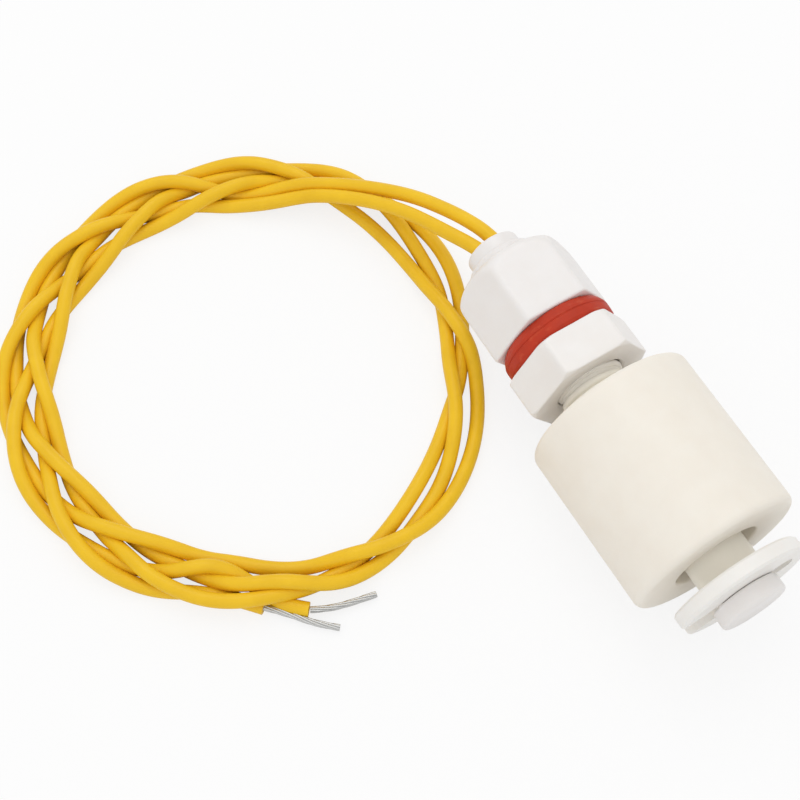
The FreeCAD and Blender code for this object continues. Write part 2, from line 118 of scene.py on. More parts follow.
class SwitchSizes(bpy.types.PropertyGroup):
    """Sizes of the switch's visible pieces."""
    cap_diameter: length("Cap diameter", "Collar that the leads leave", 7.6 * MM)
    cap_length: length("Cap length", "Length of the collar", 2.2 * MM)
    step_diameter: length("Step diameter", "Step between collar and head", 9.8 * MM)
    step_length: length("Step length", "Length of the step", 1.4 * MM)
    head_flats: length("Head across flats", "Hexagonal head",
                       high("housing").z - low("housing").z)
    head_corner: length("Head corner round", "Round along the head's six edges", 0.8 * MM)
    dome_start: length("Dome start", "Radius where the domed end of the head starts", 5.1 * MM)
    dome_radius: length("Dome radius", "Radius of the dome's arc", 3.8 * MM)
    barrel_diameter: length("Barrel diameter", "Crest diameter of the thread", 9.5 * MM)
    barrel_length: length("Barrel length", "Threaded part below the head", 13.4 * MM)
    thread_pitch: length("Thread pitch", "Advance of the thread in one turn", 1.5 * MM)
    thread_depth: length("Thread depth", "Crest to root", 0.45 * MM)
    stem_diameter: length("Stem diameter", "Plain stem inside the float", 8.4 * MM)
    neck_diameter: length("Neck diameter", "Groove that the clip snaps into", 7.2 * MM)
    boss_diameter: length("Boss diameter", "End of the stem", 9.2 * MM)
    core_diameter: length("Core diameter", "Bore that holds the contact", 5.4 * MM)
    core_depth: length("Core depth", "Depth of that bore", 56.3 * MM)
    washer_bore: length("Washer bore", "Bore of washer and nut", 9.6 * MM)
    washer_round: length("Washer round", "Round at the washer's rims", 1.0 * MM)
    nut_flats: length("Nut across flats", "Lock nut", high("lock_nut").z - low("lock_nut").z)
    nut_chamfer: length("Nut chamfer", "Chamfer of the nut's corners", 0.35 * MM)
    float_round: length("Float round", "Round at the float's rims", 1.0 * MM)
    float_bore: length("Float bore", "Bore that slides on the stem", 9.0 * MM)
    mouth_diameter: length("Mouth diameter", "Recess in each end of the float", 11.8 * MM)
    mouth_depth: length("Mouth depth", "Depth of that recess", 2.6 * MM)
    lead_diameter: length("Lead diameter", "Diameter over the insulation", 2.0 * MM)
    strand_count: IntProperty(name="Strands", description="Strands in a tinned end",
                              default=7, min=3, max=19)
    strand_diameter: length("Strand diameter", "One strand of a tinned end", 0.33 * MM)
    strand_lay: length("Strand lay", "Length in which the strands turn once", 14.0 * MM)
    segments: IntProperty(name="Segments", description="Divisions round the stem's axis",
                          default=216, min=24, max=360)


class SwitchColours(bpy.types.PropertyGroup):
    """Colours of the switch's materials."""
    moulding: colour("Moulding", "Head and stem", srgb(238, 235, 233))
    # Painted light: the stem is the same white moulding as the head. This warmer, lighter tone
    # paints the float's bounce light and lifts the float's shade.
    stem: colour("Stem", "Thread and stem past the nut", srgb(246, 241, 228))
    nut: colour("Nut", "Lock nut", srgb(240, 237, 234))
    float_shell: colour("Float", "Float", srgb(243, 237, 226))
    clip: colour("Clip", "Snap-on clip", srgb(242, 240, 236))
    rubber: colour("Rubber", "Sealing washer", srgb(190, 56, 30))
    scuff: colour("Scuff", "Rubbed marks on the washer", srgb(206, 92, 58))
    insulation: colour("Insulation", "Leads", srgb(243, 197, 38))
    tin: colour("Tin", "Tinned strands", srgb(205, 205, 203))
    resin: colour("Resin", "Potting resin", srgb(233, 226, 205))
    ferrite: colour("Ferrite", "Ring magnet", srgb(60, 60, 63))
    solder: colour("Solder", "Soldered joints", srgb(190, 190, 194))
    sleeve: colour("Sleeve", "Shrink sleeves", srgb(34, 34, 37))
    blade: colour("Blade", "Contact blades", srgb(188, 186, 182))
    glass: colour("Glass", "Contact glass", srgb(208, 228, 214))
    wire_coat: colour("Wire coat", "Return wire", srgb(120, 122, 126))


# ------------------------------------------------------------------ mesh helpers
def rounded(corners, closed=False, steps=6):
    """Points (x, r) along an outline of (x, r, round) corners, each round an arc."""
    points = []
    count = len(corners)
    for i, corner in enumerate(corners):
        here = np.array(corner[:2], float)
        if corner[2] <= 0 or (not closed and i in (0, count - 1)):
            points.append(here)
            continue
        before = np.array(corners[i - 1][:2], float) - here
        after = np.array(corners[(i + 1) % count][:2], float) - here
        before /= np.linalg.norm(before)
        after /= np.linalg.norm(after)
        inside = math.acos(float(np.clip(before @ after, -1, 1)))
        reach = corner[2] / math.tan(inside / 2)
        middle = here + (before + after) / np.linalg.norm(before + after) * (
            corner[2] / math.sin(inside / 2))
        first, last = here + before * reach - middle, here + after * reach - middle
        sweep = math.pi - inside
        for step in range(steps + 1):
            t = step / steps
            points.append(middle + (math.sin((1 - t) * sweep) * first
                                    + math.sin(t * sweep) * last) / math.sin(sweep))
    return [(float(p[0]), float(p[1])) for p in points]


def angles(count):
    return np.arange(count) * (2 * math.pi / count)


def hexagon_radius(turn, flats, corner):
    """Radius of a rounded hexagon whose flats face up and down."""
    from_corner = np.abs((turn + math.pi / 6) % (math.pi / 3) - math.pi / 6)
    side = flats / 2 / np.cos(math.pi / 6 - from_corner)
    centre = (flats / 2 - corner) / math.cos(math.pi / 6)
    start = math.atan2(corner * 0.5, centre + corner * math.cos(math.pi / 6))
    arc = centre * np.cos(from_corner) + np.sqrt(
        np.maximum(corner ** 2 - (centre * np.sin(from_corner)) ** 2, 0))
    return np.where(from_corner < start, arc, side)


def soft_min(a, b, blend):
    near = np.maximum(blend - np.abs(a - b), 0) / blend
    return np.minimum(a, b) - near * near * blend / 4


def round_piece(name, rows, count, closed):
    """Mesh round the stem's axis from rows of (x, radius), each radius a number or one
    for each division. An open run of rows starts and ends in a point on the axis."""
    turn = angles(count)
    across, upward = np.cos(turn), np.sin(turn)
    verts = []
    for x, radius in rows:
        r = np.broadcast_to(radius, (count,))
        verts.append(np.stack([np.full(count, x), r * across, AXIS_Z + r * upward], 1))
    verts = np.concatenate(verts)
    number = len(rows)
    j = np.arange(count)
    k = (j + 1) % count
    faces = []
    for i in range(number if closed else number - 1):
        a, b = i * count, (i + 1) % number * count
        faces += np.stack([a + j, a + k, b + k, b + j], 1).tolist()
    verts = verts.tolist()
    if not closed:
        for row, flip in ((0, False), (number - 1, True)):
            verts.append((rows[row][0], 0.0, AXIS_Z))
            tip = len(verts) - 1
            ring = row * count
            faces += [(tip, ring + n, ring + m) if flip else (tip, ring + m, ring + n)
                      for m, n in zip(j.tolist(), k.tolist())]
    return solid_piece(name, verts, faces)


def solid_piece(name, verts, faces, crease=38):
    """Object from a closed mesh, its faces turned outwards and its shading smooth."""
    mesh = bpy.data.meshes.new(name)
    mesh.from_pydata(verts, [], faces)
    mesh.validate()
    point_outwards(mesh)
    mesh.polygons.foreach_set("use_smooth", [True] * len(mesh.polygons))
    mesh.set_sharp_from_angle(angle=math.radians(crease))
    piece = bpy.data.objects.new(name, mesh)
    bpy.context.scene.collection.objects.link(piece)
    return piece


def point_outwards(mesh):
    """Turn a closed mesh right side out if its volume comes out negative."""
    mesh.calc_loop_triangles()
    co = np.empty(len(mesh.vertices) * 3)
    mesh.vertices.foreach_get("co", co)
    tri = np.empty(len(mesh.loop_triangles) * 3, np.int32)
    mesh.loop_triangles.foreach_get("vertices", tri)
    p = co.reshape(-1, 3)[tri.reshape(-1, 3)]
    if np.einsum("ij,ij->i", p[:, 0], np.cross(p[:, 1], p[:, 2])).sum() < 0:
        mesh.flip_normals()


def settle(piece, body, material, stands_for=()):
    """Give a finished piece its material and its body, and hide the CAD nodes it stands for.
    """
    piece.data.materials.clear()
    piece.data.materials.append(material)
    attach(piece, body)
    if stands_for:
        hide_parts(*stands_for)


def dress_node(node, material):
    """Give a CAD node that stays in view its own finish."""
    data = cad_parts[node].data
    data.materials.clear()
    data.materials.append(material)


# ------------------------------------------------------------------ material helpers
class Finish:
    """A procedural material being put together from shader nodes."""

    def __init__(self, name):
        self.material = bpy.data.materials.new(name)
        self.material.use_nodes = True
        self.tree = self.material.node_tree
        self.tree.nodes.clear()
        self.output = self.node("ShaderNodeOutputMaterial")
        self.shader = self.node("ShaderNodeBsdfPrincipled")
        self.link(self.shader, "BSDF", self.output, "Surface")
        self.place = self.node("ShaderNodeTexCoord")

    def node(self, kind, **settings):
        made = self.tree.nodes.new(kind)
        for key, value in settings.items():
            setattr(made, key, value)
        return made

    def link(self, a, out, b, into):
        self.tree.links.new(a.outputs[out], b.inputs[into])

    def set(self, **values):
        for key, value in values.items():
            self.shader.inputs[key.replace("_", " ")].default_value = value

    def noise(self, scale, detail=3.0, rough=0.5, stretch=(1, 1, 1)):
        mapping = self.node("ShaderNodeMapping")
        mapping.inputs["Scale"].default_value = stretch
        self.link(self.place, "Object", mapping, "Vector")
        noise = self.node("ShaderNodeTexNoise")
        noise.inputs["Scale"].default_value = scale
        noise.inputs["Detail"].default_value = detail
        noise.inputs["Roughness"].default_value = rough
        self.link(mapping, "Vector", noise, "Vector")
        return noise

    def ramp(self, source, out, stops):
        """Colour ramp; each stop is (place, colour)."""
        ramp = self.node("ShaderNodeValToRGB")
        while len(ramp.color_ramp.elements) < len(stops):
            ramp.color_ramp.elements.new(0.5)
        for element, (place, shade) in zip(ramp.color_ramp.elements, stops):
            element.position = place
            element.color = (*shade, 1)
        self.link(source, out, ramp, "Fac")
        return ramp

    def spread(self, source, out, into, low_value, high_value):
        """Drive a shader socket from a texture between two values."""
        spread = self.node("ShaderNodeMapRange")
        spread.inputs["From Min"].default_value = 0.3
        spread.inputs["From Max"].default_value = 0.7
        spread.inputs["To Min"].default_value = low_value
        spread.inputs["To Max"].default_value = high_value
        self.link(source, out, spread, "Value")
        self.link(spread, "Result", self.shader, into)

    def bump(self, heights):
        """Chain of bumps; each is (source, output, strength, distance)."""
        before = None
        for source, out, strength, distance in heights:
            bump = self.node("ShaderNodeBump")
            bump.inputs["Strength"].default_value = strength
            bump.inputs["Distance"].default_value = distance
            self.link(source, out, bump, "Height")
            if before:
                self.link(before, "Normal", bump, "Normal")
            before = bump
        self.link(before, "Normal", self.shader, "Normal")


def shade(tone, factor, warm=0.0):
    """A tone made darker by a factor, and warmer by a share."""
    return (tone[0] * factor, tone[1] * factor * (1 - warm), tone[2] * factor * (1 - 2 * warm))


BOUNCE_RISE, BOUNCE_FALL = 3 * MM, 1 * MM     # where the painted bounce light comes in and goes out


def moulded(name, tone, roughness, grain, glow=0.0, bounce_light=None):
    """Injection-moulded plastic: cloudy tone, fine skin texture, soft sheen. A warmer, lighter
    tone, painted bounce light from a nearby part, may take over along the axis, from its
    start until just before its end."""
    made = Finish(name)
    cloud = made.noise(260, 4, 0.55)
    ramp = made.ramp(cloud, "Fac", [(0.3, shade(tone, 0.975, 0.012)), (0.7, tone)])
    # Painted light: inside the band the tone turns warmer and lighter. It stands for light
    # bounced off the float, not for another plastic.
    if bounce_light:
        start, end, bounce_tone = bounce_light
        split = made.node("ShaderNodeSeparateXYZ")
        made.link(made.place, "Object", split, "Vector")
        both = made.node("ShaderNodeMath", operation="MINIMUM")
        fades = ((start, start + BOUNCE_RISE), (end, end - BOUNCE_FALL))
        for socket, (off, on) in zip(both.inputs, fades):
            band = made.node("ShaderNodeMapRange")
            band.inputs["From Min"].default_value = off
            band.inputs["From Max"].default_value = on
            made.link(split, "X", band, "Value")
            made.tree.links.new(band.outputs["Result"], socket)
        blend = made.node("ShaderNodeMix", data_type="RGBA")
        made.link(both, "Value", blend, "Factor")
        made.tree.links.new(ramp.outputs["Color"], blend.inputs[6])
        blend.inputs[7].default_value = (*bounce_tone, 1)
        made.tree.links.new(blend.outputs[2], made.shader.inputs["Base Color"])
    else:
        made.link(ramp, "Color", made.shader, "Base Color")
    made.set(IOR=1.49)
    if glow:
        made.set(Subsurface_Weight=glow, Subsurface_Scale=0.0015)
        made.shader.inputs["Subsurface Radius"].default_value = (1.0, 0.85, 0.7)
    made.spread(made.noise(900, 2), "Fac", "Roughness", roughness - 0.05, roughness + 0.06)
    made.bump([(made.noise(700, 3), "Fac", 0.25, 0.00008),
               (made.noise(5200, 2), "Fac", grain, 0.00003)])
    return made.material


# ------------------------------------------------------------------ node tree helpers
def open_tree(title, sockets):
    """Geometry Nodes tree with named inputs of the given kinds. Gives the tree, its input
    node, the inputs' identifiers by name, and a function that joins two nodes."""
    tree = bpy.data.node_groups.new(title, "GeometryNodeTree")
    face = tree.interface
    face.new_socket("Geometry", in_out="OUTPUT", socket_type="NodeSocketGeometry")
    face.new_socket("Geometry", in_out="INPUT", socket_type="NodeSocketGeometry")
    inputs = {name: face.new_socket(name, in_out="INPUT",
                                    socket_type="NodeSocket" + kind).identifier
              for name, kind in sockets.items()}

    def join(a, out, b, into):
        tree.links.new(a.outputs[out], b.inputs[into])

    return tree, tree.nodes.new("NodeGroupInput"), inputs, join


def close_tree(tree, group_in, join, source, out):
    """Smooth, realize and paint what the tree has made, and send it out."""
    new = tree.nodes.new
    smooth, real = new("GeometryNodeSetShadeSmooth"), new("GeometryNodeRealizeInstances")
    paint, group_out = new("GeometryNodeSetMaterial"), new("NodeGroupOutput")
    join(source, out, smooth, "Geometry")
    join(smooth, "Geometry", real, "Geometry")
    join(real, "Geometry", paint, "Geometry")
    join(group_in, "Material", paint, "Material")
    join(paint, "Geometry", group_out, "Geometry")


# ------------------------------------------------------------------ housing
EDGE = 0.35 * MM            # round at the head's lower edge
CLIP_PLAY = 0.05 * MM       # room beside the clip in its neck
BOUNCE_START = 1.5 * MM      # how far inside the nut the painted bounce light starts
RIDGE = 0.55 * MM           # radius of the thread's rounded ridge


def thread_tree(settings):
    """Tree that lays a rounded ridge along a helix round the X axis."""
    tree, group_in, inputs, join = open_tree("Thread ridge", {
        "Root Radius": "Float", "Turns": "Float", "Length": "Float",
        "Ridge Radius": "Float", "Start": "Vector", "Steps": "Int", "Material": "Material"})
    new = tree.nodes.new
    helix, ring = new("GeometryNodeCurveSpiral"), new("GeometryNodeCurvePrimitiveCircle")
    ring.inputs["Resolution"].default_value = 12
    sweep, lay = new("GeometryNodeCurveToMesh"), new("GeometryNodeTransform")
    sweep.inputs["Fill Caps"].default_value = True
    lay.inputs["Rotation"].default_value = (0, math.pi / 2, 0)
    join(group_in, "Steps", helix, "Resolution")
    join(group_in, "Turns", helix, "Rotations")
    join(group_in, "Root Radius", helix, "Start Radius")
    join(group_in, "Root Radius", helix, "End Radius")
    join(group_in, "Length", helix, "Height")
    join(group_in, "Ridge Radius", ring, "Radius")
    join(helix, "Curve", sweep, "Curve")
    join(ring, "Curve", sweep, "Profile Curve")
    join(sweep, "Mesh", lay, "Geometry")
    join(group_in, "Start", lay, "Translation")
    close_tree(tree, group_in, join, lay, "Geometry")
    return tree, {inputs[name]: value for name, value in settings.items()}


def grown(name, source, tree, values):
    """Plain mesh of what a tree grows on an object, which is then removed."""
    grower = source.modifiers.new("Grow", "NODES")
    grower.node_group = tree
    for socket, value in values.items():
        grower[socket] = value
    bpy.context.view_layer.update()
    graph = bpy.context.evaluated_depsgraph_get()
    mesh = bpy.data.meshes.new_from_object(source.evaluated_get(graph), depsgraph=graph)
    mesh.name = name
    source.modifiers.remove(grower)
    bpy.data.objects.remove(source)
    point_outwards(mesh)
    piece = bpy.data.objects.new(name, mesh)
    bpy.context.scene.collection.objects.link(piece)
    return piece


class LEVELSWITCH_OT_housing(bpy.types.Operator):
    """Moulded housing with its domed hexagonal head, thread, stem and resin fill"""
    bl_idname = "levelswitch.housing"
    bl_label = "Housing"

    def execute(self, context):
        s, tones = context.scene.switch_sizes, context.scene.switch_colours
        count = s.segments
        # From inside the nut to the clip, the white moulding gets painted bounce light from
        # the float.
        plastic = moulded("White moulding", tones.moulding, 0.36, 0.12, glow=0.06,
                          bounce_light=(NUT_FACE - BOUNCE_START, CLIP_BACK, tones.stem))
        cap, step = s.cap_diameter / 2, s.step_diameter / 2
        core, root = s.core_diameter / 2, s.barrel_diameter / 2 - s.thread_depth
        step_at = CAP_END + s.cap_length
        head_at = step_at + s.step_length
        hexagon = hexagon_radius(angles(count), s.head_flats, s.head_corner)
        rows = rounded([
            (CAP_END + s.core_depth, core * 0.5, 0),
            (CAP_END + s.core_depth, core, 0.3 * MM),
            (CAP_END, core, 0.25 * MM),
            (CAP_END, cap, 0.55 * MM),
            (step_at, cap, 0.4 * MM),
            (step_at, step, 0.6 * MM),
            (head_at, step, 0),
        ], steps=5)
        for lift in np.linspace(0.12, math.pi / 2, 22):
            rows.append((head_at + s.dome_radius * (1 - math.cos(lift)), soft_min(
                s.dome_start + s.dome_radius * math.sin(lift), hexagon, 0.5 * MM)))
        rows += [(x, hexagon) for x in np.linspace(rows[-1][0] + 0.4 * MM,
                                                   HEAD_SEAT - EDGE, 6)]
        rows += [(HEAD_SEAT - EDGE + EDGE * math.sin(a), hexagon - EDGE * (1 - math.cos(a)))
                 for a in np.linspace(0.3, math.pi / 2, 5)]
        barrel_end = HEAD_SEAT + s.barrel_length
        neck_at, boss_at = CLIP_FACE - CLIP_PLAY, CLIP_BACK + CLIP_PLAY
        rows += rounded([
            (HEAD_SEAT, root + 0.8 * MM, 0),
            (HEAD_SEAT, root, 0.2 * MM),
            (barrel_end, root, 0),
            (barrel_end, s.stem_diameter / 2, 0),
            (neck_at, s.stem_diameter / 2, 0.25 * MM),
            (neck_at, s.neck_diameter / 2, 0.2 * MM),
            (boss_at, s.neck_diameter / 2, 0.2 * MM),
            (boss_at, s.boss_diameter / 2, 0.35 * MM),
            (BOSS_END, s.boss_diameter / 2, 0.45 * MM),
            (BOSS_END, 0.4 * MM, 0),
        ], steps=5)
        settle(round_piece("moulded_housing", rows, count, closed=False), "stem", plastic,
               ["housing"])

        turns = math.floor((s.barrel_length - 0.6 * MM) / s.thread_pitch)
        tree, values = thread_tree({
            "Root Radius": s.barrel_diameter / 2 - RIDGE, "Turns": float(turns),
            "Length": turns * s.thread_pitch, "Ridge Radius": RIDGE,
            "Start": (HEAD_SEAT + RIDGE, 0, AXIS_Z), "Steps": 72, "Material": plastic})
        blank = bpy.data.objects.new("thread_blank", bpy.data.meshes.new("thread_blank"))
        context.scene.collection.objects.link(blank)
        settle(grown("barrel_thread", blank, tree, values), "stem", plastic)

        resin = Finish("Potting resin")
        cloud = resin.noise(900, 3)
        ramp = resin.ramp(cloud, "Fac", [(0.3, shade(tones.resin, 0.86, 0.04)),
                                         (0.7, tones.resin)])
        resin.link(ramp, "Color", resin.shader, "Base Color")
        resin.set(IOR=1.5, Coat_Weight=0.3)
        resin.spread(cloud, "Fac", "Roughness", 0.22, 0.38)
        resin.bump([(resin.noise(1500, 2), "Fac", 0.5, 0.0001)])
        swell, rim = 0.18 * MM, core - 0.02 * MM
        fill = [(high("potting").x, core * 0.4), (high("potting").x, rim)]
        fill += [(float(low("potting").x - swell * (1 - (r / core) ** 2)), r)
                 for r in np.linspace(rim, 0.3 * MM, 10)]
        settle(round_piece("resin_fill", fill, 96, closed=False),
               "stem", resin.material, ["potting"])
        return {"FINISHED"}


# ------------------------------------------------------------------ washer and nut
class LEVELSWITCH_OT_seal(bpy.types.Operator):
    """Red sealing washer below the head and the lock nut that squeezes it"""
    bl_idname = "levelswitch.seal"
    bl_label = "Washer and nut"

    def execute(self, context):
        s, tones = context.scene.switch_sizes, context.scene.switch_colours
        bore = s.washer_bore / 2
        outer = (high("sealing_washer").z - low("sealing_washer").z) / 2
        middle = (HEAD_SEAT + NUT_SEAT) / 2
        rows = rounded([
            (HEAD_SEAT, bore, 0.15 * MM),
            (HEAD_SEAT, outer - 0.55 * MM, s.washer_round * 0.7),
            (middle - 0.5 * MM, outer - 0.02 * MM, 0.4 * MM),
            (middle - 0.12 * MM, outer, 0.05 * MM),
            (middle, outer - 0.12 * MM, 0.05 * MM),
            (middle + 0.12 * MM, outer, 0.05 * MM),
            (NUT_SEAT - 0.5 * MM, outer - 0.06 * MM, 0.3 * MM),
            (NUT_SEAT, outer - 0.4 * MM, 0.25 * MM),
            (NUT_SEAT, bore, 0.15 * MM),
        ], closed=True, steps=5)
        rubber = Finish("Red rubber")
        grain = rubber.noise(650, 5, 0.6)
        streak = rubber.noise(330, 4, 0.65, stretch=(2.2, 1, 1))
        base = rubber.ramp(grain, "Fac", [(0.3, shade(tones.rubber, 0.86)),
                                          (0.7, tones.rubber)])
        marks = rubber.ramp(streak, "Fac", [(0.56, (0, 0, 0)), (0.74, (0.75, 0.75, 0.75))])
        mix = rubber.node("ShaderNodeMix", data_type="RGBA")
        rubber.link(marks, "Color", mix, "Factor")
        rubber.tree.links.new(base.outputs["Color"], mix.inputs[6])
        mix.inputs[7].default_value = (*tones.scuff, 1)
        rubber.tree.links.new(mix.outputs[2], rubber.shader.inputs["Base Color"])
        rubber.set(IOR=1.45, Specular_IOR_Level=0.3)
        rubber.spread(grain, "Fac", "Roughness", 0.42, 0.6)
        rubber.bump([(rubber.noise(800, 3), "Fac", 0.5, 0.00012),
                     (rubber.noise(6000, 2), "Fac", 0.2, 0.00003)])
        settle(round_piece("rubber_washer", rows, s.segments, closed=True), "washer",
               rubber.material, ["sealing_washer"])

        count = s.segments
        corner, edge = 0.45 * MM, 0.22 * MM
        flats = hexagon_radius(angles(count), s.nut_flats, corner)
        tip = s.nut_flats / math.sqrt(3)
        entry = [(0.4 * MM, bore), (0.05 * MM, bore + 0.35 * MM), (0.0, bore + 0.45 * MM)]
        rows = [(NUT_SEAT + x, r) for x, r in entry]

        def rim(a):
            inward = edge * (1 - math.sin(a))
            cone = tip - 2 * s.nut_chamfer + inward * 2
            return inward, soft_min(flats - edge * (1 - math.cos(a)), cone, 0.25 * MM)

        rims = [rim(a) for a in np.linspace(math.pi / 2, 0, 6)]
        rims += [(x, soft_min(flats, tip - 2 * s.nut_chamfer + 2 * x, 0.25 * MM))
                 for x in (0.3 * MM, 0.42 * MM, 0.6 * MM)]
        rows += [(NUT_SEAT + x, r) for x, r in rims]
        rows += [(x, flats) for x in np.linspace(NUT_SEAT + 1.0 * MM, NUT_FACE - 1.0 * MM, 5)]
        rows += [(NUT_FACE - x, r) for x, r in reversed(rims)]
        rows += [(NUT_FACE - x, r) for x, r in reversed(entry)]
        settle(round_piece("hexagon_nut", rows, count, closed=True), "nut",
               moulded("Nut moulding", tones.nut, 0.34, 0.12, glow=0.06),
               ["lock_nut"])
        return {"FINISHED"}


# ------------------------------------------------------------------ float and clip
class LEVELSWITCH_OT_float(bpy.types.Operator):
    """Float drum, open at both ends round the stem, and the magnet inside it"""
    bl_idname = "levelswitch.float_drum"
    bl_label = "Float"

    def execute(self, context):
        s, tones = context.scene.switch_sizes, context.scene.switch_colours
        outer = (high("float").z - low("float").z) / 2
        mouth, bore = s.mouth_diameter / 2, s.float_bore / 2
        rows = rounded([
            (FLOAT_FACE, mouth, 0.35 * MM),
            (FLOAT_FACE, outer, s.float_round),
            (FLOAT_BACK, outer, s.float_round),
            (FLOAT_BACK, mouth, 0.35 * MM),
            (FLOAT_BACK - s.mouth_depth, mouth, 0.3 * MM),
            (FLOAT_BACK - s.mouth_depth, bore, 0.3 * MM),
            (FLOAT_FACE + s.mouth_depth, bore, 0.3 * MM),
            (FLOAT_FACE + s.mouth_depth, mouth, 0.3 * MM),
        ], closed=True, steps=7)
        foam = moulded("Ivory float", tones.float_shell, 0.5, 0.35, glow=0.08)
        settle(round_piece("float_drum", rows, s.segments, closed=True), "float", foam,
               ["float"])

        ferrite = Finish("Ferrite")
        grain = ferrite.noise(3000, 4, 0.7)
        ramp = ferrite.ramp(grain, "Fac", [(0.35, shade(tones.ferrite, 0.6)),
                                           (0.7, tones.ferrite)])
        ferrite.link(ramp, "Color", ferrite.shader, "Base Color")
        ferrite.spread(grain, "Fac", "Roughness", 0.45, 0.7)
        ferrite.bump([(grain, "Fac", 0.4, 0.00006)])
        dress_node("ring_magnet", ferrite.material)
        return {"FINISHED"}


class LEVELSWITCH_OT_clip(bpy.types.Operator):
    """Snap-on clip that keeps the float on the stem"""
    bl_idname = "levelswitch.clip"
    bl_label = "Clip"

    def execute(self, context):
        tones = context.scene.switch_colours
        dress_node("retaining_clip", moulded("Clip moulding", tones.clip, 0.33, 0.1,
                                             glow=0.08))
        return {"FINISHED"}


# ------------------------------------------------------------------ contact and wiring
class LEVELSWITCH_OT_contact(bpy.types.Operator):
    """Finishes of the reed contact and its wiring, potted inside the stem"""
    bl_idname = "levelswitch.contact"
    bl_label = "Contact"

    def execute(self, context):
        tones = context.scene.switch_colours
        for name, tone, nodes, metal, rough in (
                ("Solder", tones.solder, ("solder_a", "solder_b"), 1.0, 0.25),
                ("Contact blade", tones.blade, ("reed_blade_a", "reed_blade_b"), 1.0, 0.3),
                ("Shrink sleeve", tones.sleeve, ("sleeve_a", "sleeve_b"), 0.0, 0.45),
                ("Return wire coat", tones.wire_coat, ("return_wire",), 0.0, 0.4),
                ("Inner insulation", tones.insulation, ("lead_a_inner", "lead_b_inner"),
                 0.0, 0.35)):
            made = Finish(name)
            grain = made.noise(2500, 3)
            ramp = made.ramp(grain, "Fac", [(0.3, shade(tone, 0.8)), (0.7, tone)])
            made.link(ramp, "Color", made.shader, "Base Color")
            made.set(Metallic=metal)
            made.spread(grain, "Fac", "Roughness", rough, rough + 0.15)
            made.bump([(grain, "Fac", 0.2, 0.00004)])
            for node in nodes:
                dress_node(node, made.material)
        glass = Finish("Contact glass")
        ramp = glass.ramp(glass.noise(1200, 2), "Fac", [(0.3, shade(tones.glass, 0.93)),
                                                        (0.7, tones.glass)])
        glass.link(ramp, "Color", glass.shader, "Base Color")
        glass.set(Transmission_Weight=0.9, IOR=1.47)
        glass.spread(glass.noise(1500, 2), "Fac", "Roughness", 0.02, 0.08)
        dress_node("reed_glass", glass.material)
        return {"FINISHED"}


# ------------------------------------------------------------------ leads
# Each lead's points from the cap to where it joins the coil, then each bare end's. All are
# in millimetres, as are the coil's sizes.
EXIT_A = [(-29.65, 1.2, 11.65), (-32.0, 1.0, 11.4), (-35.0, 0.2, 10.9), (-38.4, -1.0, 10.1),
          (-43.5, -3.2, 8.6), (-48.4, -6.3, 6.7), (-52.8, -10.0, 5.0), (-56.3, -14.1, 3.9)]
EXIT_B = [(-29.65, -1.2, 11.65), (-31.9, -1.9, 11.3), (-34.6, -3.0, 10.8),
          (-38.0, -4.2, 9.9), (-42.0, -5.6, 8.6), (-46.3, -7.7, 7.0), (-50.3, -10.5, 5.4),
          (-53.8, -14.0, 4.1)]
END_A = [(-5.0, -49.9, 1.0), (-2.4, -47.4, 0.9), (0.3, -45.3, 0.75), (2.3, -42.9, 0.6)]
END_B = [(-1.6, -45.0, 1.05), (-0.5, -42.9, 1.0), (0.3, -39.9, 0.8), (0.9, -36.6, 0.6)]
COIL_X, COIL_Y = -35.4, -35.2
COIL_RADIUS = 30.5      # middle of the bundle of turns
COIL_SPREAD = 2.7       # how far a strand swings to either side of it
COIL_WIDER = 0.25       # how much further it swings on the coil's widest side
WIDEST_AT = 200         # where that side is, in degrees
COIL_LIFT = 1.2         # half of how far a strand rises to pass over the others
WEAVES = 2.6            # swings in one turn; the odd 0.6 sets each turn beside the last
STRANDS_ABREAST = 5
SWING_START = 312       # where lead a is in its swing, in degrees
OVERTONE = 0.236        # evens out how high a strand passes over its two neighbours
OVER_PEAK = 1.06        # highest value of the swing with that overtone
COIL_STEP = 2.25        # degrees between the points that are settled
ENTER_OVER, LEAVE_OVER = 34, 26     # degrees in which a lead joins and leaves the turns
SETTLE_GAP = 2.06       # strands are pressed apart to this distance
SETTLE_ROUNDS = 70
PRESS = 0.3             # share of an overlap that one round takes away
EASE = 0.4              # share of each shift that is levelled with its neighbours'
NEAR_ALONG = 60         # degrees along one lead within which it can't touch itself
HELD = 3                # points of the way in that stay put
SINK = 0.02             # how far a strand sinks in each round, until another holds it up
# Where each lead starts and stops round the coil in degrees, where its swing starts, and
# the radius and its change per degree as it joins and as it leaves.
LEAD_TURNS = {
    "a": {"first": 140.0, "last": 1054.2, "swing": SWING_START, "enter": (29.2, -0.09),
          "leave": (33.8, 0.2)},
    "b": {"first": 137.0, "last": 703.6, "swing": SWING_START + 4 * 360 / STRANDS_ABREAST,
          "enter": (27.6, -0.08), "leave": (35.1, 0.12)},
}
ENTER_HEIGHT = 3.4
FLOOR_HEIGHT = 1.0


def smooth_step(t):
    t = np.clip(t, 0, 1)
    return t * t * (3 - 2 * t)


